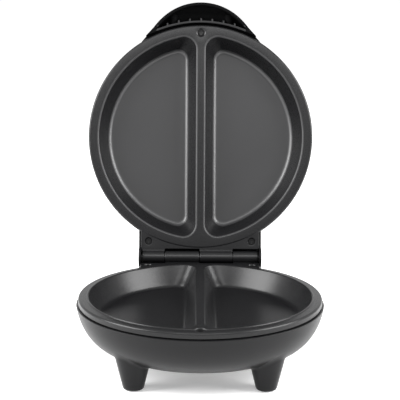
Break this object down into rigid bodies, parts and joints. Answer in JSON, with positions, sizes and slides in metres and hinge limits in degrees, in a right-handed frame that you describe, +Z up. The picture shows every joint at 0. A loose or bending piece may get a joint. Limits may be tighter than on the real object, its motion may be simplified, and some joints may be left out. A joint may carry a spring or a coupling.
{
  "type": "electric omelette maker",
  "caption": "Round countertop omelette cooker with a hinged lid, half-moon wells in its non-stick plates, a satin dark grey casing on short legs and a black grip on the lid",
  "frame": {"origin": "on the table, at the centre of the overall footprint with the lid open", "axes": "+Z up; +X runs along the hinge pin, to the right seen from the front; the front of the base is at -Y and the hinge and open lid are at +Y"},
  "size_m": [0.195, 0.2799, 0.2735],
  "materials": {
    "casing": "satin dark grey moulding",
    "handle": "satin black moulding",
    "nonstick": "die-cast, with a dark grey non-stick coating",
    "rubber": "matte black",
    "steel": "zinc plated",
    "dark_screw": "dark plated",
    "sheet_steel": "aluminised sheet",
    "element_steel": "heat-tinted tube",
    "ceramic": "unglazed",
    "white_plastic": "natural nylon",
    "lead_sleeve": "glass-fibre sleeve",
    "red_lens": "clear red",
    "green_lens": "clear green",
    "lamp_glass": "small glass bulb"
  },
  "bodies": {
    "base": {"base_casing": "casing", "foot_pads": "rubber", "cord_gland": "rubber", "cord_clamp": "white_plastic", "cord_clamp_screws": "steel", "terminal_block": "white_plastic", "base_leads": "lead_sleeve", "lower_heat_shield": "sheet_steel", "lower_shield_screws": "steel", "thermostat": "ceramic", "thermostat_screw": "steel", "lower_heating_element": "element_steel", "lower_element_beads": "ceramic", "lower_cooking_plate": "nonstick", "lower_plate_screws": "dark_screw", "hinge_pin": "steel"},
    "lid": {"lid_casing": "casing", "lid_handle": "handle", "handle_screws": "steel", "upper_cooking_plate": "nonstick", "upper_plate_screws": "dark_screw", "upper_heating_element": "element_steel", "upper_element_beads": "ceramic", "upper_heat_shield": "sheet_steel", "upper_shield_screws": "steel", "thermal_fuse": "lead_sleeve", "fuse_clip": "steel", "power_lens": "red_lens", "ready_lens": "green_lens", "lamp_holder": "white_plastic", "neon_lamps": "lamp_glass", "lid_leads": "lead_sleeve"}
  },
  "joints": [
    {"name": "lid_hinge", "type": "hinge", "parent": "base", "child": "lid", "pos_m": [0, 0.06103, 0.062], "axis": [1, 0, 0], "range_deg": [0, 105.5]}
  ]
}
